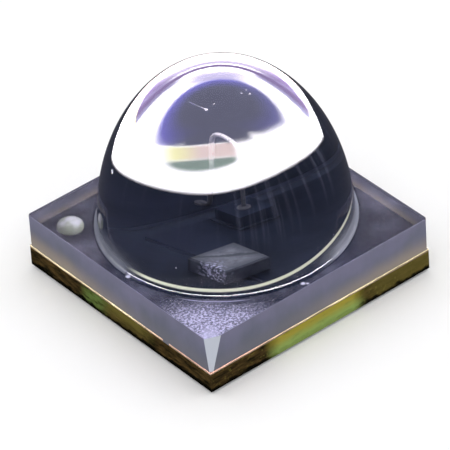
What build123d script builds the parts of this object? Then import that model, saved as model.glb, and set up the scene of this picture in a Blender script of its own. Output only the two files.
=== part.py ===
from build123d import *
import os
from math import asin, degrees

# Surface-mount ultraviolet diode: a tall clear lens moulded onto a thin square board.
# All lengths are in millimetres. The origin is the centre of the underside, +Z points up,
# and the sides run along X and Y. The bead that marks the cathode is at the corner (-X, +Y).

# Lens
dome_radius = 1.59  # at the foot of the dome
dome_height = 2.20  # above the flange, so the dome is a half ellipsoid, taller than round
dome_margin = 0.16  # flange left outside the dome at the middle of each side
foot_height = 0.045  # of the concave curve by which the dome runs out into the flange
dome_root = 0.10  # how far the dome's body goes down inside the flange
flange_thickness = 0.47
corner_break = 0.03  # leg of the small break along three corners
front_break_x = 0.19  # legs of the wide break at the front corner (-X, -Y), at the flange's top
front_break_y = 0.08
front_break_low = 0.15  # share of those legs left where the flange meets the board

# Board
core_thickness = 0.26
land_thickness = 0.035
land_gap = 0.12  # etched between the two lands
gap_exit = 0.91  # how far off the middle of a side the gap leaves the board
pad_thickness = 0.035
pad_inset = 0.15  # from the board's edge to the pads
terminal_pad_width = 0.50
pad_spacing = 0.35  # between a terminal pad and the thermal pad
index_chamfer = 0.25  # cut corner of the thermal pad, on the cathode's side

# Filled vias
via_diameter = 0.15
via_pitch = 0.60
vias_in_row = 3
via_row_shift = 0.40  # each row is centred on the part of its land that lies over the pad
thermal_via_columns = 2
thermal_via_rows = 2
thermal_via_pitch = 0.26
thermal_via_setback = 0.06  # from the edge of the gap to the rim of the first vias

# Light-emitting die, mounted face down across the gap
chip_side = 0.45
chip_thickness = 0.15
chip_bevel = 0.015  # left along the top edges where the wafer was scribed
joint_thickness = 0.02
joint_inset = 0.05  # from the edge of the die to its solder joints
joint_setback = 0.03  # from the edge of the gap to the joints

# Protection die and its wire
zener_side = 0.22
zener_thickness = 0.10
zener_x = 0.66
zener_setback = 0.02  # from the edge of the gap to the film under the die
attach_thickness = 0.015
attach_rim = 0.02  # film that shows round the die
wire_diameter = 0.025
wire_rise = 0.57  # from the ball to the top of the loop
wire_crest = 0.22  # between the two legs at the top of the loop
crest_bend = 0.09
heel_bend = 0.04  # where the wire turns level before its flattened end
stitch_length = 0.06  # flattened end, bonded to the land
stitch_width = 0.05
stitch_thickness = 0.018
stitch_setback = 0.04  # from the edge of the gap to the flattened end
stitch_bed = 0.002  # metal left under the round wire inside the flattened end
ball_diameter = 0.075
ball_height = 0.02

# Bead that marks the cathode
marker_radius = 0.17
marker_wall = 0.04  # straight side under its round top
marker_inset_x = 0.41  # from the board's edges to the middle of the bead
marker_inset_y = 0.32

# Levels and reaches that follow from these sizes
package_side = 2 * (dome_radius + dome_margin)
half_side = package_side / 2
core_bottom = pad_thickness
core_top = core_bottom + core_thickness
land_top = core_top + land_thickness
flange_top = land_top + flange_thickness
dome_top = flange_top + dome_height
foot_turn = degrees(asin(foot_height / dome_height))  # where the foot leaves the ellipse
chip_bottom = land_top + joint_thickness
zener_bottom = land_top + attach_thickness
zener_top = zener_bottom + zener_thickness
zener_y = gap_exit - land_gap / 2 - zener_setback - attach_rim - zener_side / 2
ball_top = zener_top + ball_height
loop_top = ball_top + wire_rise
stitch_level = land_top + stitch_bed + wire_diameter / 2
stitch_y = gap_exit + land_gap / 2 + stitch_setback + stitch_length / 2
heel_y = stitch_y - stitch_length
crest_end = zener_y + wire_crest
pad_length = package_side - 2 * pad_inset
terminal_pad_place = half_side - pad_inset - terminal_pad_width / 2
thermal_pad_width = 2 * (terminal_pad_place - terminal_pad_width / 2 - pad_spacing)

os.makedirs("parts", exist_ok=True)


def finish(piece, name):
    piece.part.label = name
    export_step(piece.part, f"parts/{name}.step")


# Lands: the gap runs in from one side, under the die and out at the opposite side, so the two
# lands are the same L shape turned by half a turn. Both reach the sawn edge of the board.
lands = []
for name, turn in (("cathode_land", 0), ("anode_land", 180)):
    with BuildPart() as land:
        with BuildSketch(Plane.XY.offset(core_top).rotated((0, 0, turn))):
            with BuildLine():
                Polyline(
                    (-half_side, land_gap / 2 - gap_exit),
                    (-land_gap / 2, land_gap / 2 - gap_exit),
                    (-land_gap / 2, gap_exit + land_gap / 2),
                    (half_side, gap_exit + land_gap / 2),
                    (half_side, half_side),
                    (-half_side, half_side),
                    close=True,
                )
            make_face()
        extrude(amount=land_thickness)
    finish(land, name)
    lands.append(land.part)

# Underside: two long terminal pads with the wider thermal pad between them
for name, side in (("cathode_pad", -1), ("anode_pad", 1)):
    with BuildPart() as terminal_pad:
        with BuildSketch(Plane((side * terminal_pad_place, 0, 0))):
            Rectangle(terminal_pad_width, pad_length)
        extrude(amount=pad_thickness)
    finish(terminal_pad, name)

with BuildPart() as thermal_pad:
    with BuildSketch(Plane.XY) as thermal_outline:
        Rectangle(thermal_pad_width, pad_length)
        chamfer(thermal_outline.vertices().group_by(Axis.X)[0].sort_by(Axis.Y)[-1], length=index_chamfer)
    extrude(amount=pad_thickness)
finish(thermal_pad, "thermal_pad")

# Filled vias: a row to each terminal pad, and a group from the die down to the thermal pad
first_thermal_via = land_gap / 2 + thermal_via_setback + via_diameter / 2
via_places = {}
for number in range(vias_in_row):
    along = (number - (vias_in_row - 1) / 2) * via_pitch
    via_places[f"cathode_via_{number + 1}"] = (-terminal_pad_place, via_row_shift + along)
    via_places[f"anode_via_{number + 1}"] = (terminal_pad_place, -via_row_shift - along)
for number in range(thermal_via_columns * thermal_via_rows):
    column, row = divmod(number, thermal_via_rows)
    via_places[f"thermal_via_{number + 1}"] = (
        -first_thermal_via - column * thermal_via_pitch,
        (row - (thermal_via_rows - 1) / 2) * thermal_via_pitch,
    )
for name, (x, y) in via_places.items():
    with BuildPart() as via:
        with BuildSketch(Plane((x, y, core_bottom))):
            Circle(via_diameter / 2)
        extrude(amount=core_thickness)
    finish(via, name)

# Board core, drilled for every via
with BuildPart() as board_core:
    with BuildSketch(Plane.XY.offset(core_bottom)):
        Rectangle(package_side, package_side)
    extrude(amount=core_thickness)
    with Locations(*[(x, y, core_top) for x, y in via_places.values()]):
        Hole(via_diameter / 2)
finish(board_core, "board_core")

# Light-emitting die, with a scribed bevel round its top face
with BuildPart() as led_chip:
    with BuildSketch(Plane.XY.offset(chip_bottom)):
        Rectangle(chip_side, chip_side)
    extrude(amount=chip_thickness)
    chamfer(led_chip.faces().sort_by(Axis.Z)[-1].edges(), length=chip_bevel)
finish(led_chip, "led_chip")

# Its two solder joints, one on each land
joint_width = chip_side / 2 - joint_inset - land_gap / 2 - joint_setback
joint_place = land_gap / 2 + joint_setback + joint_width / 2
joints = []
for name, side in (("cathode_joint", -1), ("anode_joint", 1)):
    with BuildPart() as joint:
        with BuildSketch(Plane((side * joint_place, 0, land_top))):
            Rectangle(joint_width, chip_side - 2 * joint_inset)
        extrude(amount=joint_thickness)
    finish(joint, name)
    joints.append(joint.part)

# Protection die on its film, on the anode's land
with BuildPart() as zener_attach:
    with BuildSketch(Plane((zener_x, zener_y, land_top))):
        Rectangle(zener_side + 2 * attach_rim, zener_side + 2 * attach_rim)
    extrude(amount=attach_thickness)
finish(zener_attach, "zener_attach")

with BuildPart() as zener_chip:
    with BuildSketch(Plane((zener_x, zener_y, zener_bottom))):
        Rectangle(zener_side, zener_side)
    extrude(amount=zener_thickness)
finish(zener_chip, "zener_chip")

# Bond wire: a flattened ball on the die, a loop over the gap, and a flattened end on the other land
with BuildPart() as bond_wire:
    with BuildSketch(Plane((zener_x, zener_y, zener_top))):
        Circle(ball_diameter / 2)
    extrude(amount=ball_height)
    chamfer(bond_wire.faces().sort_by(Axis.Z)[-1].edges(), length=ball_height / 2)
    with BuildLine() as loop:
        FilletPolyline(
            (zener_x, zener_y, ball_top - ball_height / 2),
            (zener_x, zener_y, loop_top),
            (zener_x, crest_end, loop_top),
            (zener_x, (crest_end + heel_y) / 2, (loop_top + stitch_level) / 2),
            radius=crest_bend,
        )
        FilletPolyline(
            (zener_x, (crest_end + heel_y) / 2, (loop_top + stitch_level) / 2),
            (zener_x, heel_y, stitch_level),
            (zener_x, stitch_y, stitch_level),
            radius=heel_bend,
        )
    with BuildSketch(Plane((zener_x, zener_y, ball_top - ball_height / 2))):
        Circle(wire_diameter / 2)
    sweep(path=loop.wires()[0])
    with BuildSketch(Plane((zener_x, stitch_y, land_top))):
        Ellipse(stitch_width / 2, stitch_length / 2)
    extrude(amount=stitch_thickness)
finish(bond_wire, "bond_wire")

# Marker bead: a short round post with a half ball on top
marker_x = marker_inset_x - half_side
marker_y = half_side - marker_inset_y
with BuildPart() as marker_dot:
    with BuildSketch(Plane((marker_x, marker_y, land_top))):
        Circle(marker_radius)
    extrude(amount=marker_wall)
    with Locations((marker_x, marker_y, land_top + marker_wall)):
        Sphere(marker_radius, arc_size1=0, align=(Align.CENTER, Align.CENTER, Align.MIN))
finish(marker_dot, "marker_dot")

# Lens: moulded over everything that stands on the board, so its underside fills the etched gap
# and closes round each piece
with BuildPart() as lens:
    with BuildSketch(Plane.XY.offset(core_top)):
        Rectangle(package_side, package_side)
    extrude(amount=flange_top - core_top)
    upright = lens.edges().filter_by(Axis.Z).sort_by(Axis((0, 0, 0), (1, 1, 0)))
    chamfer(upright[1:], length=corner_break)
    # the front corner is broken off along a plane that leans in towards the top
    break_left = Vector(-half_side, front_break_y - half_side, flange_top)
    break_across = Vector(front_break_x, -front_break_y, 0)
    break_down = Vector(0, (front_break_low - 1) * front_break_y, core_top - flange_top)
    break_plane = Plane(break_left, x_dir=break_across, z_dir=break_across.cross(break_down))
    split(bisect_by=break_plane, keep=Keep.TOP)
    with BuildSketch(Plane.XZ):
        with BuildLine():
            dome = EllipticalCenterArc(
                (0, flange_top), dome_radius, dome_height, start_angle=foot_turn, arc_size=90 - foot_turn
            )
            # the foot is an arc that touches both the dome and the flange's top
            outward = -(dome % 0).rotate(Axis.Z, 90)
            foot_radius = foot_height / (1 - outward.Y)
            foot_reach = (dome @ 0).X + foot_radius * outward.X
            TangentArc((foot_reach, flange_top), dome @ 0, tangent=(-1, 0))
            Polyline(
                dome @ 1,
                (0, flange_top - dome_root),
                (foot_reach, flange_top - dome_root),
                (foot_reach, flange_top),
            )
        make_face()
    revolve(axis=Axis.Z)
    bonded = (led_chip.part, zener_attach.part, zener_chip.part, bond_wire.part)
    for inner in (*lands, *joints, *bonded, marker_dot.part):
        add(inner, mode=Mode.SUBTRACT)
finish(lens, "lens")
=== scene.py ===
import math
import bpy
import bmesh
from mathutils import Matrix, Vector


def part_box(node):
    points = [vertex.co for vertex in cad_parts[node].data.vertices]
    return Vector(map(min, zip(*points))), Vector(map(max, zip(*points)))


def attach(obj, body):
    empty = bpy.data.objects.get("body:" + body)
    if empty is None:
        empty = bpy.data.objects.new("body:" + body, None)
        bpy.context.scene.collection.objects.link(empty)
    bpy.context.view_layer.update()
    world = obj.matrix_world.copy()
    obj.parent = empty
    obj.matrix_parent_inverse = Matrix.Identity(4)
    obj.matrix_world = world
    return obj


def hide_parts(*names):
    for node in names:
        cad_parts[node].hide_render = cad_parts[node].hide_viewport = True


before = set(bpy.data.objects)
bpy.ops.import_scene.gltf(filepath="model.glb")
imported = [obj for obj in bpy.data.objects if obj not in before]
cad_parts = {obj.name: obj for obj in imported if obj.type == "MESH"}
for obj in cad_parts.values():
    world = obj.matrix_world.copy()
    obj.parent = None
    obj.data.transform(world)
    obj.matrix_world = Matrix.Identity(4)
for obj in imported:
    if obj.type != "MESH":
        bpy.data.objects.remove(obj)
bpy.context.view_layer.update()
mm = 0.001
print("scene: frame loaded")

# Sizes that the pieces share, in millimetres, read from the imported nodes
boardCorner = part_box("board_core")[1]
halfSide = boardCorner[0] / mm
coreTop = boardCorner[2] / mm
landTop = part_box("cathode_land")[1][2] / mm
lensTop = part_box("lens")[1][2] / mm
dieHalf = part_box("led_chip")[1][0] / mm

# The level direction into the photograph, on the part's own axes
intoX = 0.609
intoY = 0.793


# A value on its way through a node tree, so that sums on it are written as Python sums
class Wire:
    def __init__(self, graph, socket):
        self.graph = graph
        self.socket = socket

    def sum(self, operation, *terms):
        return self.graph.node("ShaderNodeMath", {"operation": operation}, dict(enumerate(terms)))

    def __add__(self, other):
        return self.sum("ADD", self, other)

    def __radd__(self, other):
        return self.sum("ADD", other, self)

    def __sub__(self, other):
        return self.sum("SUBTRACT", self, other)

    def __rsub__(self, other):
        return self.sum("SUBTRACT", other, self)

    def __mul__(self, other):
        return self.sum("MULTIPLY", self, other)

    def __rmul__(self, other):
        return self.sum("MULTIPLY", other, self)

    def __truediv__(self, other):
        return self.sum("DIVIDE", self, other)

    def __pow__(self, other):
        return self.sum("POWER", self, other)

    def __abs__(self):
        return self.sum("ABSOLUTE", self)

    def least(self, other):
        return self.sum("MINIMUM", self, other)

    def most(self, other):
        return self.sum("MAXIMUM", self, other)

    def clamp(self):
        return self.most(0.0).least(1.0)

    def sine(self):
        return self.sum("SINE", self)

    def cosine(self):
        return self.sum("COSINE", self)

    # 0 below low, 1 above high, and smooth between
    def ramp(self, low, high):
        sockets = {"Value": self, "From Min": low, "From Max": high}
        return self.graph.node("ShaderNodeMapRange", {"interpolation_type": "SMOOTHSTEP"}, sockets)

    # the other way round: 1 below low, 0 above high
    def fall(self, low, high):
        return 1 - self.ramp(low, high)

    # 1 between two places: it fades in over the first pair and out over the second
    def between(self, start, end):
        return self.ramp(*start) * self.fall(*end)

    # the first colour where this mask is 0, the second where it is 1
    def colours(self, first, second):
        return self.graph.node("ShaderNodeMix", {"data_type": "RGBA"}, {0: self, 6: first, 7: second}, 2)


class Graph:
    def __init__(self, tree):
        self.tree = tree

    # any node: its type, its settings, then the values or wires of its sockets
    def node(self, kind, settings=None, sockets=None, output=0):
        made = self.tree.nodes.new(kind)
        for name, value in (settings or {}).items():
            setattr(made, name, value)
        for key, value in (sockets or {}).items():
            if isinstance(value, Wire):
                self.tree.links.new(value.socket, made.inputs[key])
            else:
                made.inputs[key].default_value = value
        return Wire(self, made.outputs[output])

    def split(self, vector):
        parts = self.node("ShaderNodeSeparateXYZ", None, {0: vector})
        return [Wire(self, socket) for socket in parts.socket.node.outputs]

    def join(self, x, y, z):
        return self.node("ShaderNodeCombineXYZ", None, {0: x, 1: y, 2: z})

    # a sum on vectors; a distance or a dot product comes out as one number
    def vector(self, operation, *terms):
        keys = (0, "Scale") if operation == "SCALE" else (0, 1)
        output = "Value" if operation in ("DISTANCE", "DOT_PRODUCT") else "Vector"
        return self.node("ShaderNodeVectorMath", {"operation": operation}, dict(zip(keys, terms)), output)


# Materials: each works from the place on the object, in millimetres
class Finish(Graph):
    def __init__(self, name, **constants):
        self.material = bpy.data.materials.new(name)
        self.material.use_nodes = True
        super().__init__(self.material.node_tree)
        self.shader = self.tree.nodes["Principled BSDF"]
        self.settle(constants)
        coordinates = self.node("ShaderNodeTexCoord", None, None, "Object")
        self.place = self.vector("SCALE", coordinates, 1 / mm)
        self.x, self.y, self.z = self.split(self.place)

    # values that are the same all over, on the shader's own sockets
    def settle(self, constants):
        for key, value in constants.items():
            self.shader.inputs[key.replace("_", " ")].default_value = value

    # clouds, from the place on the object, that place stretched, or another one
    def noise(self, scale, detail=3.0, roughness=0.5, stretch=None, place=None):
        place = place or self.place
        if stretch:
            place = self.vector("MULTIPLY", place, stretch)
        sockets = {"Vector": place, "Scale": scale, "Detail": detail, "Roughness": roughness}
        return self.node("ShaderNodeTexNoise", None, sockets)

    # distance to the nearest of many scattered points
    def cells(self, scale):
        return self.node("ShaderNodeTexVoronoi", None, {"Vector": self.place, "Scale": scale}, "Distance")

    # 1 on the part's four sawn sides; both values are distances in from a side
    def sawn(self, start, full):
        return abs(self.x).most(abs(self.y)).ramp(halfSide - start, halfSide - full)

    def feed(self, **wires):
        for key, wire in wires.items():
            self.tree.links.new(wire.socket, self.shader.inputs[key.replace("_", " ")])

    def bump(self, height, strength, distance):
        sockets = {"Height": height, "Strength": strength, "Distance": distance * mm}
        normal = self.node("ShaderNodeBump", None, sockets)
        self.feed(Normal=normal)
        return normal

    # a further shader, seen where the mask is 1; later feeds go to it
    def overlay(self, mask, kind="ShaderNodeBsdfPrincipled", **constants):
        first = self.shader
        self.shader = self.tree.nodes.new(kind)
        self.settle(constants)
        last = self.tree.nodes["Material Output"].inputs["Surface"]
        below = last.links[0].from_socket if last.links else first.outputs[0]
        sockets = {0: mask, 1: Wire(self, below), 2: Wire(self, self.shader.outputs[0])}
        both = self.node("ShaderNodeMixShader", None, sockets)
        self.tree.links.new(both.socket, last)


def dress(names, material):
    for name in names:
        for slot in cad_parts[name].material_slots:
            slot.material = material


# Geometry nodes: a tree with named inputs, run once and turned into a plain mesh
class Former(Graph):
    def __init__(self, name):
        super().__init__(bpy.data.node_groups.new(name, "GeometryNodeTree"))
        self.tree.interface.new_socket("Geometry", in_out="OUTPUT", socket_type="NodeSocketGeometry")
        self.given = self.tree.nodes.new("NodeGroupInput")
        self.values = {}

    def input(self, name, value, kind="NodeSocketFloat"):
        item = self.tree.interface.new_socket(name, in_out="INPUT", socket_type=kind)
        self.values[item.identifier] = value
        return Wire(self, self.given.outputs[name])

    def build(self, name, geometry, material):
        slot = self.input("Material", material, "NodeSocketMaterial")
        real = self.node("GeometryNodeRealizeInstances", None, {"Geometry": geometry})
        dressed = self.node("GeometryNodeSetMaterial", None, {"Geometry": real, "Material": slot})
        ending = self.tree.nodes.new("NodeGroupOutput")
        self.tree.links.new(dressed.socket, ending.inputs["Geometry"])
        piece = bpy.data.objects.new(name, bpy.data.meshes.new(name))
        bpy.context.scene.collection.objects.link(piece)
        modifier = piece.modifiers.new("forming", "NODES")
        modifier.node_group = self.tree
        for identifier, value in self.values.items():
            modifier[identifier] = value
        graph = bpy.context.evaluated_depsgraph_get()
        mesh = bpy.data.meshes.new_from_object(piece.evaluated_get(graph))
        piece.modifiers.remove(modifier)
        mesh.name = name
        piece.data = mesh
        return piece


def keep(piece, slot, *nodes):
    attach(piece, "root")
    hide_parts(*nodes)
    print("scene: made", piece.name, len(piece.data.polygons), "faces")


# Camera, from the photograph's viewing angle; the aim is offset so that no lens shift is needed
view = {
    "azimuth": -37.546,
    "elevation": 37.216,
    "roll": -3.981,
    "distance": 60.0,
    "aimHeight": 1.5,
    "aimRight": 0.022,
    "aimUp": -0.660,
    "pixelsPerMm": 81.927,
    "framePixels": 450,
    "sensor": 36.0,
    "clipStart": 0.001,
    "clipEnd": 10.0,
}


def makeCamera():
    turn, rise, roll = (math.radians(view[key]) for key in ("azimuth", "elevation", "roll"))
    back = Vector((math.sin(turn) * math.cos(rise), -math.cos(turn) * math.cos(rise), math.sin(rise)))
    level = Vector((math.cos(turn), math.sin(turn), 0.0))
    upright = back.cross(level)
    right = level * math.cos(roll) + upright * math.sin(roll)
    up = upright * math.cos(roll) - level * math.sin(roll)
    aim = Vector((0.0, 0.0, view["aimHeight"])) + right * view["aimRight"] + up * view["aimUp"]
    camera = bpy.data.cameras.new("camera")
    camera.sensor_width = view["sensor"]
    camera.lens = view["pixelsPerMm"] * view["distance"] / view["framePixels"] * view["sensor"]
    camera.clip_start = view["clipStart"]
    camera.clip_end = view["clipEnd"]
    seen = bpy.data.objects.new("camera", camera)
    turned = Matrix((right, up, back)).transposed().to_4x4()
    seen.matrix_world = Matrix.Translation((aim + back * view["distance"]) * mm) @ turned
    bpy.context.scene.collection.objects.link(seen)
    bpy.context.scene.camera = seen


makeCamera()

# Clear lens: the half-ellipsoid dome, its concave foot, the square flange with broken corners, and
# an underside that dips to the board's core, so that it fills the etched gap between the lands
lensShape = {
    "domeRadius": 1.59,
    "flangeTop": 0.80,
    "footHeight": 0.045,
    "cornerBreak": 0.03,
    "frontBreakX": 0.19,
    "frontBreakY": 0.08,
    "frontBreakLow": 0.15,  # share of the front break that is left at the board
    "sideInset": 0.002,  # from the solid's sides
    "dip": 0.004,  # of the underside into the core
    "around": 448,
    "domeRows": 96,
    "footRows": 8,
    "topRows": 10,
    "sideRows": 8,
    "underRows": 2,
    "cornerColumns": 5,  # over which a corner's shift dies out
    "weld": 1e-7,
    "index": 1.45,
}


# The concave foot: the dome's slope where it starts, its radius, how far out its own centre is, and its tilt
def footStart(radius, height, footHeight):
    slope = math.acos(footHeight / height)
    outward = Vector((math.sin(slope) / radius, math.cos(slope) / height)).normalized()
    footRadius = footHeight / (1 - outward.y)
    footCentre = radius * math.sin(slope) + footRadius * outward.x
    return slope, footRadius, footCentre, math.atan2(outward.y, outward.x)


# The resin's finish: in its dictionaries a pair is the two values that a mask fades between.
# This lifts a pair of heights to the flange's top.
def fromTop(pair):
    return [lensShape["flangeTop"] + height for height in pair]


# Tiny pits, each a place and a radius: six on the dome and three glints on the flange; all of them are
# painted pale, as painted glints
pitsAndGlints = [
    ((-0.465, -0.35, 2.85), 0.022),
    ((-0.355, -0.37, 2.88), 0.010),
    ((0.005, -0.46, 2.91), 0.013),
    ((0.085, -0.45, 2.91), 0.012),
    ((0.09, -0.515, 2.88), 0.015),
    ((-1.28, 0.53, 1.88), 0.03),
    ((-1.63, -0.09, 0.80), 0.045),
    ((-0.19, -1.67, 0.80), 0.040),
    ((-0.15, -1.71, 0.80), 0.025),
]
# a scratch on the dome, from its faint start to the first pit, painted pale as a painted glint
scratchGlint = ((-0.54, -0.08, 2.87), (-0.475, -0.32, 2.85))
# the pale colour of the dust and of the painted glints
markGlintLook = {
    "dust": 2.6,  # cells to the millimetre, each with one speck
    "speck": (0.012, 0.034),
    "dustFrom": (0.2, 0.3),
    "dustTo": (0.6, 0.9),
    "dustShare": 0.7,
    "pitHeart": 0.3,  # share of a pit's radius where it is full
    "scratchWidth": (0.002, 0.009),
    "scratchFaint": (0.0, 0.6),
    "scratchShare": 0.6,
    "share": 0.7,
    "colour": (0.75, 0.75, 0.95, 1),
}


# Specks of dust low on the dome, the pits, and the scratch, which grows along its length; the pits and the
# scratch are painted glints
def marksAndGlintsOn(glass):
    look = markGlintLook
    lowDown = glass.z.between(fromTop(look["dustFrom"]), fromTop(look["dustTo"]))
    marksAndGlints = glass.cells(look["dust"]).fall(*look["speck"]) * lowDown * look["dustShare"]
    for place, radius in pitsAndGlints:
        away = glass.vector("DISTANCE", glass.place, place)
        marksAndGlints = marksAndGlints.most(away.fall(radius * look["pitHeart"], radius))
    start, end = (Vector(place) for place in scratchGlint)
    along = end - start
    offset = glass.vector("SUBTRACT", glass.place, start)
    share = glass.vector("DOT_PRODUCT", offset, along / along.length_squared).clamp()
    apart = glass.vector("DISTANCE", offset, glass.vector("SCALE", along, share))
    cut = apart.fall(*look["scratchWidth"]) * share.ramp(*look["scratchFaint"])
    return marksAndGlints.most(cut * look["scratchShare"])


flangeLook = {
    "flat": (0.002, 0.02),
    "skin": (-0.004, -0.001),
    "start": (1.64, 1.66),  # from the middle
    "clear": 0.98,  # share of the shader without gloss
    "clearRoughness": 0.03,
    "roughness": 0.05,
    "grain": 36.0,  # grains to the millimetre
    "grainDepth": 0.006,
    "grainHeight": 0.9,
    "ripple": 0.004,  # what is left of that height outside the patch
    "patch": (-2.85, -2.15),  # x + y, so it is thickest by the front corner
    "patchClouds": 2.5,
    "patchWander": 0.5,
    "raised": (0.46, 0.60),
    "pale": (0.40, 0.66),
    "glitterAside": (0.1, 1.3),
    "sheenCloud": (0.4, 0.7),
    "sheenClouds": 1.8,
    "sheenMost": 0.11,
    "sheenLeast": 0.03,
    "highlightAside": (0.02, 0.4),
    "highlightReach": (-3.3, -2.7),  # x + y
    "reflectionLine": 1.69,  # radius of a painted reflection line round the foot, seen at the front
    "reflectionWidth": (0.003, 0.012),
    "reflectionAside": (0.3, 0.8),
    "reflectionShare": 0.5,
    # the pale lavender of the painted glitter, sheen, highlight and reflection line
    "colour": (0.62, 0.60, 0.90, 1),
}


# The flange's top: clear with hardly any gloss, but for the dust, the pits, the painted glints and the raised
# grains of the gritty patch
def dressFlange(glass, outward, marksAndGlints):
    look = flangeLook
    flat = glass.z.fall(*fromTop(look["flat"]))
    diagonal = glass.x + glass.y
    spread = (glass.noise(look["patchClouds"], 2.0) - 0.5) * look["patchWander"]
    patch = (diagonal + spread).fall(*look["patch"])
    grain = glass.noise(look["grain"], 2.0, 0.6)
    height = grain * (patch * look["grainHeight"] + look["ripple"]) * flat
    relief = glass.bump(height - marksAndGlints, 1.0, look["grainDepth"])
    glass.feed(Roughness=flat * look["roughness"])
    dull = flat * (1 - (patch * grain.ramp(*look["raised"])).most(marksAndGlints)) * look["clear"]
    glass.overlay(dull, "ShaderNodeBsdfRefraction", IOR=lensShape["index"], Roughness=look["clearRoughness"])
    glass.feed(Normal=relief)
    # the dust is pale, and the pits and the scratch are painted pale as painted glints
    glass.overlay(marksAndGlints * markGlintLook["share"], Specular_IOR_Level=0.2, Roughness=0.4,
                  Base_Color=markGlintLook["colour"])
    # painted light: glitter on the pale grains, a thin pale cloud of sheen, a highlight at the very corner,
    # and a reflection line round the foot
    aside = abs(glass.x - glass.y)
    onTop = flat * glass.z.ramp(*fromTop(look["skin"])) * outward.ramp(*look["start"])
    pale = (grain.ramp(*look["pale"]) * 0.65 + 0.35) * patch * (aside.fall(*look["glitterAside"]) * 0.45 + 0.30)
    sheenCloud = glass.noise(look["sheenClouds"]).ramp(*look["sheenCloud"]) * look["sheenMost"] + look["sheenLeast"]
    cornerHighlight = aside.fall(*look["highlightAside"]) * diagonal.fall(*look["highlightReach"]) * (grain * 0.6 + 0.3)
    paintedReflection = abs(outward - look["reflectionLine"]).fall(*look["reflectionWidth"]) * aside.fall(*look["reflectionAside"])
    pale = pale.most(sheenCloud).most(cornerHighlight).most(paintedReflection * look["reflectionShare"])
    # all of these are painted light, in that pale lavender
    glass.overlay(pale * onTop, Specular_IOR_Level=0.2, Roughness=0.4, Base_Color=look["colour"])


# the painted sheen on the foot's sides, and where it lies
footSheenLook = {
    "start": (1.5, 1.55),  # from the middle
    "end": (1.630, 1.636),
    "skin": (-0.004, 0.0),
    "wallLow": (0.08, 0.20),
    "wallHigh": (0.16, 0.36),
    "lowShare": 0.75,
    "sides": (0.50, 0.80),  # how far the wall faces the front, 1 being straight at it
    "share": 0.92,
    "roughness": 0.5,
    "streaks": 60.0,  # to the millimetre, across them
    "alongStreak": 3.0,
    "streak": (0.3, 0.7),
    "streakShare": 0.5,
    "streakColour": (0.12, 0.13, 0.17, 1),
    "leftToRight": (-0.5, 0.8),
    "left": (0.20, 0.21, 0.26, 1),
    "right": (0.32, 0.33, 0.40, 1),
}
# the painted highlight line above the foot's front
frontHighlightLook = {
    "height": 0.09,  # above the flange
    "climb": 0.24,
    "width": (0.012, 0.034),
    "from": (-0.80, -0.62),  # places round the foot, from -1 at the left to 1 at the right
    "to": (0.93, 1.0),
    "facing": (0.0, 0.2),
    "colour": (0.94, 0.96, 0.78, 1),
}


# The foot: a painted grey sheen at its sides, lighter on the right, standing in for the ring light's
# reflection, and a painted highlight line above its front that climbs on the right
def dressFoot(glass, outward):
    look = footSheenLook
    facing = (glass.x * -intoX - glass.y * intoY) / outward
    around = (glass.x * intoY - glass.y * intoX) / outward
    wall = glass.z.fall(*fromTop(look["wallLow"])) * look["lowShare"]
    wall = wall + (1 - look["lowShare"]) * glass.z.fall(*fromTop(look["wallHigh"]))
    foot = outward.between(look["start"], look["end"]) * glass.z.ramp(*fromTop(look["skin"])) * wall
    foot = foot * facing.fall(*look["sides"])
    streaked = glass.join(outward * look["streaks"], glass.z * look["streaks"], facing * look["alongStreak"])
    fine = glass.noise(1.0, 2.0, place=streaked)
    paintedSheen = (glass.x - glass.y).ramp(*look["leftToRight"]).colours(look["left"], look["right"])
    paintedSheen = (fine.ramp(*look["streak"]) * look["streakShare"]).colours(paintedSheen, look["streakColour"])
    # painted reflection: a grey sheen on the foot's sides, lighter on the right
    glass.overlay(foot * look["share"], Specular_IOR_Level=0.0, Roughness=look["roughness"])
    glass.feed(Base_Color=paintedSheen)
    line = frontHighlightLook
    climb = around.most(0.0)
    rise = glass.z - climb * climb * line["climb"] - (lensShape["flangeTop"] + line["height"])
    # painted highlight: the bright line above the front
    front = abs(rise).fall(*line["width"]) * around.ramp(*line["from"]) * around.fall(*line["to"])
    front = front * (1 - climb * 0.5) * facing.ramp(*line["facing"]) * (fine * 0.6 + 0.6).least(1.0)
    glass.overlay(front * outward.ramp(*look["start"]), Specular_IOR_Level=0.0, Roughness=look["roughness"],
                  Base_Color=line["colour"])


sideLook = {
    "cut": (0.02, 0.004),  # distances in from a side
    "rear": (0.045, 0.03),
    "broken": (0.05, 0.036),  # in from where the sides would meet
    "wedgeEdge": (0.06, 0.1),
    "wedgeTop": (-0.003, 0.0),
    "rim": (-0.05, -0.02),
    "clouds": 1.3,
    "streaks": 5.0,
    "streakShare": 0.25,
    "violet": (0.3, 0.75),
    "violetFrom": 0.56,  # above the underside; it is paler over this and darker under it
    "violetRise": 0.6,
    "warmAlong": (-0.9, 1.2),
    "warmHeight": (0.33, 0.62),  # above the underside
    "warmWander": 0.25,
    "frostDark": (0.115, 0.125, 0.165, 1),
    "frostPale": (0.175, 0.17, 0.25, 1),
    "frostWarm": (0.31, 0.26, 0.21, 1),
    "frostRim": (0.02, 0.02, 0.035, 1),
    "wedge": (0.50, 0.53, 0.60, 1),
}


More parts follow.
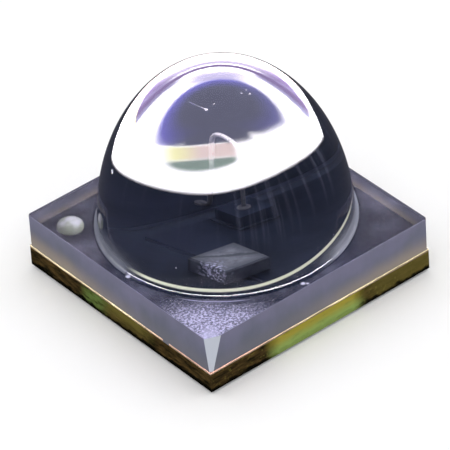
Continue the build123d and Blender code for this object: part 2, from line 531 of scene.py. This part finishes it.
# Sawn sides and broken corners: frosted, warm low down, dark along the rear rim, pale on the front break
def dressSides(glass):
    look = sideLook
    shape = lensShape
    top = shape["flangeTop"]
    cornerStart, cornerFull = (halfSide * 2 - inset for inset in look["broken"])
    broken = (abs(glass.x) + abs(glass.y)).ramp(cornerStart, cornerFull)
    share = 1 - (top - glass.z) * ((1 - shape["frontBreakLow"]) / (top - coreTop))
    wedge = (glass.x + halfSide) / shape["frontBreakX"] + (glass.y + halfSide) / shape["frontBreakY"] - share
    wedge = wedge.fall(*look["wedgeEdge"])
    rearStart, rearFull = (halfSide - inset for inset in look["rear"])
    rear = glass.x.most(glass.y).ramp(rearStart, rearFull)
    sawn = glass.sawn(*look["cut"]).most(broken).most(wedge * glass.z.fall(*fromTop(look["wedgeTop"])))
    cloud = glass.noise(look["clouds"], 3.0, 0.55)
    streaks = glass.noise(look["streaks"], 3.0, 0.6, (1.0, 1.0, 0.3))
    streaks = cloud * (1 - look["streakShare"]) + streaks * look["streakShare"]
    violet = streaks + (glass.z - look["violetFrom"]) * look["violetRise"]
    frost = violet.ramp(*look["violet"]).colours(look["frostDark"], look["frostPale"])
    along = glass.x.most(glass.y).ramp(*look["warmAlong"])
    warm = (glass.z + (cloud - 0.5) * look["warmWander"]).fall(*look["warmHeight"]) * (along * 0.7 + 0.15)
    frost = warm.colours(frost, look["frostWarm"])
    frost = (rear * glass.z.ramp(*fromTop(look["rim"]))).colours(frost, look["frostRim"])
    frost = wedge.colours(frost, look["wedge"])
    glass.overlay(sawn.most(rear), Transmission_Weight=0.1, IOR=shape["index"], Specular_IOR_Level=0.0)
    glass.feed(Base_Color=frost, Roughness=streaks * 0.2 + 0.3)


def clearFinish():
    glass = Finish("clearLens", Base_Color=(1, 1, 1, 1), Transmission_Weight=1.0, IOR=lensShape["index"],
                   Specular_IOR_Level=0.5)
    outward = (glass.x * glass.x + glass.y * glass.y) ** 0.5
    dressFlange(glass, outward, marksAndGlintsOn(glass))
    dressFoot(glass, outward)
    dressSides(glass)
    return glass.material


# The two ends of each broken corner, in the order of the turn
def cornerPoints(half, small, frontX, frontY):
    less = half - small
    return [((half, less), (less, half)),
            ((0 - less, half), (0 - half, less)),
            ((0 - half, frontY - half), (frontX - half, 0 - half)),
            ((less, 0 - half), (half, 0 - less))]


def makeLens():
    shape = lensShape
    fullTurn = 2 * math.pi
    domeHeight = lensTop - shape["flangeTop"]
    former = Former("lensShell")
    radius = former.input("Dome Radius", shape["domeRadius"])
    height = former.input("Dome Height", domeHeight)
    flangeTop = former.input("Flange Top", shape["flangeTop"])
    underside = former.input("Underside", coreTop - shape["dip"])
    half = former.input("Half Side", halfSide - shape["sideInset"])
    cornerBreak = former.input("Corner Break", shape["cornerBreak"])
    frontX = former.input("Front Break X", shape["frontBreakX"])
    frontY = former.input("Front Break Y", shape["frontBreakY"])
    around = former.input("Around", shape["around"] + 1, "NodeSocketInt")
    rows = [shape[key] for key in ("domeRows", "footRows", "topRows", "sideRows", "underRows")]
    total = sum(rows)
    # a grid one unit wide: its columns are the turn, its rows run from the dome's top to the underside
    grid = former.node("GeometryNodeMeshGrid", None,
                       {"Size X": 1.0, "Size Y": 1.0, "Vertices X": around, "Vertices Y": total + 1})
    acrossX, acrossY, _ = former.split(former.node("GeometryNodeInputPosition"))
    turn = (acrossX + 0.5) * fullTurn
    down = acrossY + 0.5
    # each stage runs from 0 to 1 along its own rows
    stages = []
    for number, count in enumerate(rows):
        begin = sum(rows[:number]) / total
        stages.append(((down - begin) * (total / count)).clamp())
    dome, foot, top, side, under = stages
    # the front break narrows down the side
    share = 1 - side * (1 - shape["frontBreakLow"])
    # the columns nearest to a corner are drawn to it, and their neighbours share the shift
    wanted = cornerPoints(half, cornerBreak, frontX * share, frontY * share)
    nearest = cornerPoints(halfSide, shape["cornerBreak"], shape["frontBreakX"], shape["frontBreakY"])
    step = fullTurn / shape["around"]
    outside = shape["cornerColumns"] * step
    pulls = []
    for pair, places in zip(wanted, nearest):
        columns = [round(math.atan2(y, x) % fullTurn / step) * step for x, y in places]
        between = columns[1] - columns[0]
        for (x, y), column, (below, above) in zip(pair, columns, ((outside, between), (between, outside))):
            angle = former.node("ShaderNodeMath", {"operation": "ARCTAN2"}, {0: y, 1: x})
            shift = angle - column + (fullTurn if column > math.pi else 0.0)
            pull = ((turn - column) / below + 1).least((column - turn) / above + 1).most(0.0)
            pulls.append(shift * pull)
    turn = sum(pulls, turn)
    # the profile: an ellipse down to the foot, then the foot's own arc
    footAngle, footRadius, footCentre, footTilt = footStart(
        shape["domeRadius"], domeHeight, shape["footHeight"])
    slope = dome * footAngle
    bend = foot * (math.pi / 2 - footTilt) + (math.pi + footTilt)
    footStartR = footCentre + footRadius * math.cos(math.pi + footTilt)
    footStartZ = footRadius * math.sin(math.pi + footTilt)
    footR = bend.cosine() * footRadius + (footCentre - footStartR)
    footZ = bend.sine() * footRadius - footStartZ
    # distance to the square's side, or to a broken corner, in the direction of the turn
    cosine, sine = turn.cosine(), turn.sine()
    edge = half / abs(cosine).most(abs(sine))
    for signX, signY in ((1, -1), (1, 1), (-1, 1)):
        edge = edge.least((half * 2 - cornerBreak) / (cosine * signX + sine * signY).most(0.01))
    frontEdge = half / frontX + half / frontY - share
    edge = edge.least(frontEdge / (0 - cosine / frontX - sine / frontY).most(0.01))
    reach = (radius * slope.sine() + footR + (edge - footCentre) * top) * (1 - under)
    level = flangeTop + height * slope.cosine() + footZ + (underside - flangeTop) * side
    moved = former.join(reach * cosine * mm, reach * sine * mm, level * mm)
    # smooth to the foot's end, and flat faces from there on
    smoothRows = sum(rows[:2]) / total
    shaded = grid
    for operation, isSmooth in (("LESS_THAN", True), ("GREATER_EQUAL", False)):
        chosen = former.node("FunctionNodeCompare", {"data_type": "FLOAT", "operation": operation},
                             {0: down, 1: smoothRows})
        shaded = former.node("GeometryNodeSetShadeSmooth", {"domain": "FACE"},
                             {"Geometry": shaded, "Selection": chosen, "Shade Smooth": isSmooth})
    placed = former.node("GeometryNodeSetPosition", None, {"Geometry": shaded, "Position": moved})
    welded = former.node("GeometryNodeMergeByDistance", None, {"Geometry": placed, "Distance": shape["weld"]})
    outward = former.node("GeometryNodeFlipFaces", None, {"Mesh": welded})
    return former.build("lensBody", outward, clearFinish())


keep(makeLens(), "clear_lens", "lens")

# Board and metal
boardCut = (0.004, 0.002)  # in from a side, where the sawn faces begin
metal = {
    "clouds": 1.6,
    "cloudy": (0.35, 0.7),
    "fine": 40.0,
    "fineDepth": 0.004,
    "below": (-0.004, -0.001),  # from the land's top, where its etched sides begin
    "pinkToPale": (0.2, 1.9),  # from the front corner
    "smear": (0.35, 0.6),
    "smearClouds": 3.0,
    "smearHeight": 0.014,  # below the land's top; the line is brighter above this
    "smearRise": 14,
    "plateDark": (0.009, 0.012, 0.021, 1),
    "platePale": (0.016, 0.020, 0.036, 1),
    # painted lighter than the plating, to make up for the shade in the etched gap
    "gapSideLit": (0.045, 0.055, 0.090, 1),
    "copperPink": (0.85, 0.50, 0.38, 1),
    "copperPale": (0.80, 0.70, 0.42, 1),
    "copperDull": (0.20, 0.15, 0.10, 1),
}
laminate = {
    "wander": 0.5,
    "weave": 8.0,
    "weaveStretch": (0.5, 0.5, 2.0),
    "weaveDepth": 0.02,
    "fleckGrain": 22.0,
    "fleck": (0.62, 0.7),
    "leafFrom": (0.15, 0.45),  # y along the left side
    "leafTo": (0.55, 0.85),
    "oliveFrom": (-0.7, -0.3),
    "oliveTo": (0.2, 0.4),
    "bandFrom": (-0.95, -0.65),  # x along the right side
    "bandTo": (0.45, 0.75),
    "bandWander": 0.6,
    "farEnd": (0.5, 1.0),
    "greenToYellow": (0.10, 0.26),  # heights
    "blackToBare": (0.07, 0.11),
    # the board's top under the resin, seen in the etched gap: painted lighter, to make up for the shade there
    "under": (0.022, 0.027, 0.043, 1),
    "darkBrown": (0.006, 0.006, 0.003, 1),
    "brown": (0.072, 0.045, 0.016, 1),
    "olive": (0.12, 0.10, 0.025, 1),
    "yellow": (0.29, 0.25, 0.04, 1),
    "green": (0.23, 0.32, 0.09, 1),
    "leafGreen": (0.10, 0.15, 0.04, 1),
    "blackEdge": (0.003, 0.003, 0.002, 1),
}


# Dark plating under the resin, with a bare copper line where it was sawn
def landFinish():
    land = Finish("landMetal", Metallic=0.3, Specular_IOR_Level=0.0)
    cloud = land.noise(metal["clouds"], 4.0, 0.6)
    fine = land.noise(metal["fine"], 2.0)
    dark = cloud.ramp(*metal["cloudy"]).colours(metal["plateDark"], metal["platePale"])
    sideTop, topStart = (landTop + height for height in metal["below"])
    # the etched sides of the gap are painted lighter than the plating, to make up for the shade in the gap
    dark = land.z.ramp(sideTop, topStart).colours(metal["gapSideLit"], dark)
    # the line is pink by the front corner and pale far from it, and smeared dull along its lower side
    corner = (land.x + land.y + halfSide * 2).ramp(*metal["pinkToPale"])
    copper = corner.colours(metal["copperPink"], metal["copperPale"])
    smear = land.noise(metal["smearClouds"], 3.0) * 0.7 + fine * 0.3
    smear = smear + (land.z - landTop + metal["smearHeight"]) * metal["smearRise"]
    copper = smear.ramp(*metal["smear"]).colours(metal["copperDull"], copper)
    land.feed(Base_Color=land.sawn(*boardCut).colours(dark, copper), Roughness=cloud * 0.3 + 0.3)
    land.bump(fine, 0.3, metal["fineDepth"])
    return land.material


# Glass-epoxy laminate: painted light, green and yellow where the light gets through, dark brown elsewhere and
# black below
def laminateFinish():
    look = laminate
    board = Finish("laminate", Specular_IOR_Level=0.0)
    warp = (board.noise(2.2, 3.0) - 0.5) * look["wander"]
    weave = board.noise(look["weave"], 4.0, 0.65, look["weaveStretch"])
    fleck = board.noise(look["fleckGrain"], 2.0)
    high = (board.z + (weave - 0.5) * 0.12).ramp(*look["greenToYellow"])
    tone = weave.ramp(0.3, 0.7).colours(look["darkBrown"], look["brown"])
    # left side: a small green patch, olive beside it
    along = board.y + warp
    patch = along.between(look["leafFrom"], look["leafTo"])
    olive = along.between(look["oliveFrom"], look["oliveTo"])
    left = (olive * (high * 0.6 + 0.3)).colours(tone, look["olive"])
    left = (patch * weave.ramp(0.25, 0.6)).colours(left, look["leafGreen"])
    # right side: a long patch, yellow above and green below, and olive towards its far end
    band = (board.x + warp * look["bandWander"]).between(look["bandFrom"], look["bandTo"])
    faded = fleck.ramp(*look["fleck"]) * 0.5 + (board.x + warp).ramp(*look["farEnd"]) * 0.6
    right = faded.colours(tone, look["olive"])
    bright = high.colours(look["green"], look["yellow"])
    # painted light: the long patch glows yellow above and green below
    right = (band * (weave.ramp(0.2, 0.5) * 0.4 + 0.6)).colours(right, bright)
    onRight = (board.x - board.y).ramp(-0.1, 0.1)
    face = onRight.colours(left, right)
    low = (board.z + (board.noise(7.0, 3.0, 0.6) - 0.5) * 0.16).fall(*look["blackToBare"])
    face = (low * (1 - band * onRight * 0.8)).colours(face, look["blackEdge"])
    # the board's top gets the colour painted lighter for the shade in the gap; the sawn sides get the face
    board.feed(Base_Color=board.sawn(*boardCut).colours(look["under"], face), Roughness=weave * 0.3 + 0.4)
    board.bump(weave, 0.6, look["weaveDepth"])
    return board.material


# Any piece of one cloudy tone
def plainFinish(name, low, high, roughness, **constants):
    plain = Finish(name, **constants)
    grain = plain.noise(9.0, 4.0, 0.6)
    plain.feed(Base_Color=grain.colours(low, high), Roughness=grain * 0.2 + roughness)
    return plain.material


inside = {
    "wireGlints": 26.0,
    "wireShadeToLight": (0.62, 0.85),  # heights between which the wire turns from painted shade to painted light
    # the wire's painted glints, the tone between them, and its painted shade
    "bead": (1.0, 0.97, 0.98, 1),
    "betweenGlints": (0.60, 0.55, 0.60, 1),
    "wireFootShade": (0.03, 0.033, 0.05, 1),
    "crystalBorder": (-0.10, 0.03),  # from the die's side
    "crystalLineAt": 0.05,
    "crystalLineWidth": (0.01, 0.035),
    "dustGrain": 38.0,
    "dustAcross": (-0.12, 0.0),
    "dustAway": (-0.2, 0.0),
    "crystalDark": (0.026, 0.030, 0.046, 1),
    "crystalPale": (0.115, 0.125, 0.155, 1),
    "crystalLine": (0.014, 0.018, 0.028, 1),
    "crystalDust": (0.42, 0.42, 0.62, 1),
    "milkGreen": (0.36, 0.40, 0.30, 1),
    "milkPale": (0.80, 0.80, 0.88, 1),
}


# Drawn gold, painted: pale with small bright painted glints along the loop's top, and painted shade towards
# its feet
def wireFinish():
    gold = Finish("wireGold")
    glintBeads = gold.cells(inside["wireGlints"]).ramp(0.15, 0.55)
    upper = gold.z.ramp(*inside["wireShadeToLight"])
    drawn = glintBeads.colours(inside["bead"], inside["betweenGlints"])
    drawn = upper.colours(inside["wireFootShade"], drawn)
    gold.feed(Base_Color=drawn, Metallic=upper * 0.6 + 0.1, Roughness=glintBeads * 0.2 + 0.5 - upper * 0.38)
    return gold.material


# Die seen through the dome: hazy grey crystal, paler higher up as painted light, with a dark line across it
# and pale dust at its front
def dieFinish():
    die = Finish("dieCrystal", Specular_IOR_Level=0.1)
    haze = die.noise(7.0, 4.0, 0.7)
    away = die.x * intoX + die.y * intoY
    across = die.x * intoY - die.y * intoX
    # painted light: the crystal gets paler higher up, so its top is lighter than its sides
    tone = (haze + (die.z - 0.45) * 1.2).ramp(0.3, 0.8)
    borderStart, borderFull = (dieHalf + inset for inset in inside["crystalBorder"])
    border = (abs(die.x).most(abs(die.y)) + haze * 0.06).ramp(borderStart, borderFull)
    tone = tone * (1 - border * 0.8)
    colour = tone.colours(inside["crystalDark"], inside["crystalPale"])
    line = abs(away + (haze - 0.5) * 0.1 - inside["crystalLineAt"]).fall(*inside["crystalLineWidth"]) * 0.8
    colour = line.colours(colour, inside["crystalLine"])
    dust = die.noise(inside["dustGrain"], 2.0).ramp(0.45, 0.62)
    dust = dust * (across + (haze - 0.5) * 0.3).fall(*inside["dustAcross"])
    colour = (dust * away.fall(*inside["dustAway"]) * 0.8).colours(colour, inside["crystalDust"])
    die.feed(Base_Color=colour, Roughness=haze * 0.3 + 0.2)
    return die.material


# Milky bead, greener at its foot
def markerFinish():
    bead = Finish("markerBead", Roughness=0.35, Specular_IOR_Level=0.3)
    cloud = bead.noise(7.0, 3.0)
    milk = (cloud + (bead.z - 0.5) * 2.5).ramp(0.3, 0.7)
    bead.feed(Base_Color=milk.colours(inside["milkGreen"], inside["milkPale"]))
    return bead.material


# Plain pieces: the finish's name, its two tones, how rough it is and its constants, then the nodes
plainPieces = [
    ("padGold", (0.7, 0.5, 0.2, 1), (0.85, 0.65, 0.3, 1), 0.25, {"Metallic": 1.0},
     ["cathode_pad", "anode_pad", "thermal_pad"]),
    ("viaCopper", (0.55, 0.28, 0.18, 1), (0.75, 0.42, 0.28, 1), 0.3, {"Metallic": 1.0},
     [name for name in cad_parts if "_via_" in name]),
    ("solderGrey", (0.10, 0.10, 0.12, 1), (0.2, 0.2, 0.22, 1), 0.35, {"Metallic": 1.0},
     ["cathode_joint", "anode_joint"]),
    ("attachFilm", (0.012, 0.015, 0.026, 1), (0.018, 0.022, 0.036, 1), 0.5, {"Specular_IOR_Level": 0.0},
     ["zener_attach"]),
    ("zenerDark", (0.009, 0.012, 0.021, 1), (0.016, 0.020, 0.036, 1), 0.4, {"Specular_IOR_Level": 0.0},
     ["zener_chip"]),
]

dress(["cathode_land", "anode_land"], landFinish())
dress(["board_core"], laminateFinish())
dress(["bond_wire"], wireFinish())
dress(["led_chip"], dieFinish())
dress(["marker_dot"], markerFinish())
for name, low, high, roughness, constants, nodes in plainPieces:
    dress(nodes, plainFinish(name, low, high, roughness, **constants))
print("scene: board, metal and inner pieces dressed")

# Floor and light: a bright ring light round a dim middle, which only gloss sees
stage = {
    "floorSize": 400.0,
    "floorDrop": 0.0005,
    "floorColour": (0.93, 0.93, 0.93, 1),
    "worldStrength": 1.12,
    "hoodRadius": 260.0,
    "ring": (38.0, 37.0, 39.0, 1),
    "pane": (3.4, 3.4, 5.0, 1),
    "paneRim": (5.0, 4.6, 15.0, 1),
    "stripePink": (22.0, 17.5, 17.5, 1),
    "stripeYellow": (26.0, 25.0, 14.0, 1),
    "crescent": (7.2, 9.0, 8.3, 1),
    "line": (3.2, 2.3, 4.6, 1),
    "wideLine": (5.6, 5.2, 8.2, 1),
    "haze": (10.5, 9.2, 15.0, 1),
    "low": (0.08, 0.08, 0.10, 1),
    "glint": (0.8, 0.85, 1.2, 1),
}

# Where the light's pattern has its parts, on directions: across the picture, away from it and up
pattern = {
    "ringEdge": (-0.03, 0.02),
    # the ring's lower edge: a start, then shares of sideways, backward and the square of backward
    "ringLow": (0.1, 0.055, 0.385, 0.12),
    "ringDrop": 0.30,  # how far down that edge may go
    "ringRise": 0.14,  # less drop on the right
    "ringRight": (0.2, 0.65),
    "posts": 9.0,
    "postsFlat": 0.08,
    "postsShown": (0.5, 0.72),
    "hazeFrom": (0.50, 0.66),
    "hazeTo": (0.74, 0.90),
    "hazeAside": (0.15, 0.75),
    "hazeShare": 0.9,
    "arcBack": 0.91,
    "arcBend": 0.37,
    "lineWidth": (0.01, 0.04),
    "wideLineAt": 0.01,
    "wideLineWidth": (0.05, 0.11),
    "wideLineAside": (0.3, 0.5),
    "endsFrom": (-1.0, -0.72),
    "endsTo": (0.15, 0.36),
    "yellowToPink": (-0.8, -0.3),
    "oval": (1.275, 0.388, 0.051, 3.247, 0.429),  # fitted to the dim middle's outline
    "ovalEdge": (0.85, 1.15),
    "ovalFront": -0.35,  # the oval is straight from here on
    "rim": (0.4, 1.0),
}
# its slanted edges: shares of across and away, and the height where each starts
lightEdges = {
    "pane": (0.066, 0.591, 0.511),
    "stripe": (0.013, 0.627, 0.244),
    "crescent": (0.144, 0.183, 0.461),
}
# violet lines along the back: how far behind the first each is, and its strength
backLines = ((0.0, 1.0), (0.055, 0.9))


# The light's pattern, by the direction it comes from
def hoodFinish():
    hood = Finish("ringLight", Base_Color=(0, 0, 0, 1), Specular_IOR_Level=0.0, Emission_Strength=1.0)
    across, away, high = hood.split(hood.vector("NORMALIZE", hood.place))

    def past(name):
        byAcross, byAway, start = lightEdges[name]
        return high - across * byAcross + away * byAway - start

    # the ring's lower edge, with dim posts under it
    level = (across * across + away * away + 0.0001) ** 0.5
    sideways, backward = across / level, away / level
    start, bySide, byBack, bySquare = pattern["ringLow"]
    lower = start + sideways * bySide - backward * byBack - backward * backward * bySquare
    least = sideways.ramp(*pattern["ringRight"]) * pattern["ringRise"] - pattern["ringDrop"]
    lower = lower.most(least)
    posts = hood.noise(pattern["posts"], place=hood.join(sideways, backward, high * pattern["postsFlat"]))
    posts = posts.ramp(*pattern["postsShown"]) * high.ramp(-0.4, 0.1) * (sideways.ramp(-0.2, 0.4) * 0.8 + 0.2)
    dim = posts.colours(stage["low"], stage["glint"])
    colour = (high - lower).ramp(*pattern["ringEdge"]).colours(dim, stage["ring"])
    # mauve haze behind the dim middle, and violet lines that run along the back
    haze = away.between(pattern["hazeFrom"], pattern["hazeTo"]) * abs(across).fall(*pattern["hazeAside"])
    haze = haze * high.ramp(0.2, 0.4)
    colour = (haze * pattern["hazeShare"]).colours(colour, stage["haze"])
    arc = away - pattern["arcBack"] + across * across * pattern["arcBend"]
    wide = abs(arc - pattern["wideLineAt"]).fall(*pattern["wideLineWidth"])
    wide = wide * abs(across).ramp(*pattern["wideLineAside"]) * high.ramp(-0.1, 0.0)
    colour = wide.colours(colour, stage["wideLine"])
    for place, strength in backLines:
        line = abs(arc - place).fall(*pattern["lineWidth"]) * high.ramp(-0.2, 0.0) * strength
        colour = line.colours(colour, stage["line"])
    # in front of the dim middle a dull crescent and a pale stripe, yellow to pink
    paneEdge = past("pane") - across.ramp(0.4, 0.8) * 0.05
    stripeEdge = past("stripe")
    ends = across.between(pattern["endsFrom"], pattern["endsTo"])
    dull = stripeEdge.fall(-0.03, 0.04) * past("crescent").ramp(-0.04, 0.03) * ends
    colour = dull.colours(colour, stage["crescent"])
    stripe = paneEdge.fall(-0.06, 0.0) * stripeEdge.ramp(-0.03, 0.04) * ends
    warm = across.ramp(*pattern["yellowToPink"]).colours(stage["stripeYellow"], stage["stripePink"])
    colour = stripe.colours(colour, warm)
    # the dim middle: an oval cut off at its front edge, bluer towards its rim
    behind = away.most(pattern["ovalFront"])
    wideness, slant, aside, length, shift = pattern["oval"]
    middle = across * (across * wideness - behind * slant + aside) + behind * (behind * length - shift)
    rim = middle.ramp(*pattern["rim"]) * away.ramp(-0.4, 0.0) * (1 - across.ramp(0.1, 0.6) * 0.6)
    soft = across.ramp(-0.1, 0.4) * 0.07 + 0.03
    fading = (paneEdge / soft).fall(-1.2, 0.8)
    pane = middle.fall(*pattern["ovalEdge"]).least(1 - fading * fading * fading) * high.ramp(0.0, 0.1)
    colour = pane.colours(colour, rim.colours(stage["pane"], stage["paneRim"]))
    hood.feed(Emission_Color=colour)
    return hood.material


def makeHood():
    form = bmesh.new()
    bmesh.ops.create_icosphere(form, subdivisions=4, radius=stage["hoodRadius"] * mm)
    mesh = bpy.data.meshes.new("ringLight")
    form.to_mesh(mesh)
    form.free()
    mesh.materials.append(hoodFinish())
    hood = bpy.data.objects.new("ringLight", mesh)
    hood.rotation_euler = (0.0, 0.0, math.radians(view["azimuth"]))
    bpy.context.scene.collection.objects.link(hood)
    hood.visible_camera = False
    hood.visible_diffuse = False
    hood.visible_transmission = False
    hood.visible_shadow = False
    hood.visible_volume_scatter = False


def makeFloor():
    size = stage["floorSize"] * mm / 2
    corners = [(-size, -size, 0), (size, -size, 0), (size, size, 0), (-size, size, 0)]
    mesh = bpy.data.meshes.new("floor")
    mesh.from_pydata(corners, [], [(0, 1, 2, 3)])
    floor = bpy.data.objects.new("floor", mesh)
    floor.location.z = -stage["floorDrop"] * mm
    bpy.context.scene.collection.objects.link(floor)
    pale = Finish("paleFloor", Roughness=0.9, Base_Color=stage["floorColour"], Specular_IOR_Level=0.0)
    mesh.materials.append(pale.material)
    floor.visible_glossy = False


def makeWorld():
    world = bpy.data.worlds.new("studio")
    world.use_nodes = True
    background = world.node_tree.nodes["Background"]
    background.inputs["Color"].default_value = (1, 1, 1, 1)
    background.inputs["Strength"].default_value = stage["worldStrength"]
    bpy.context.scene.world = world
    bpy.context.scene.view_settings.view_transform = "Standard"


makeHood()
makeFloor()
makeWorld()
print("scene: floor and light ready")
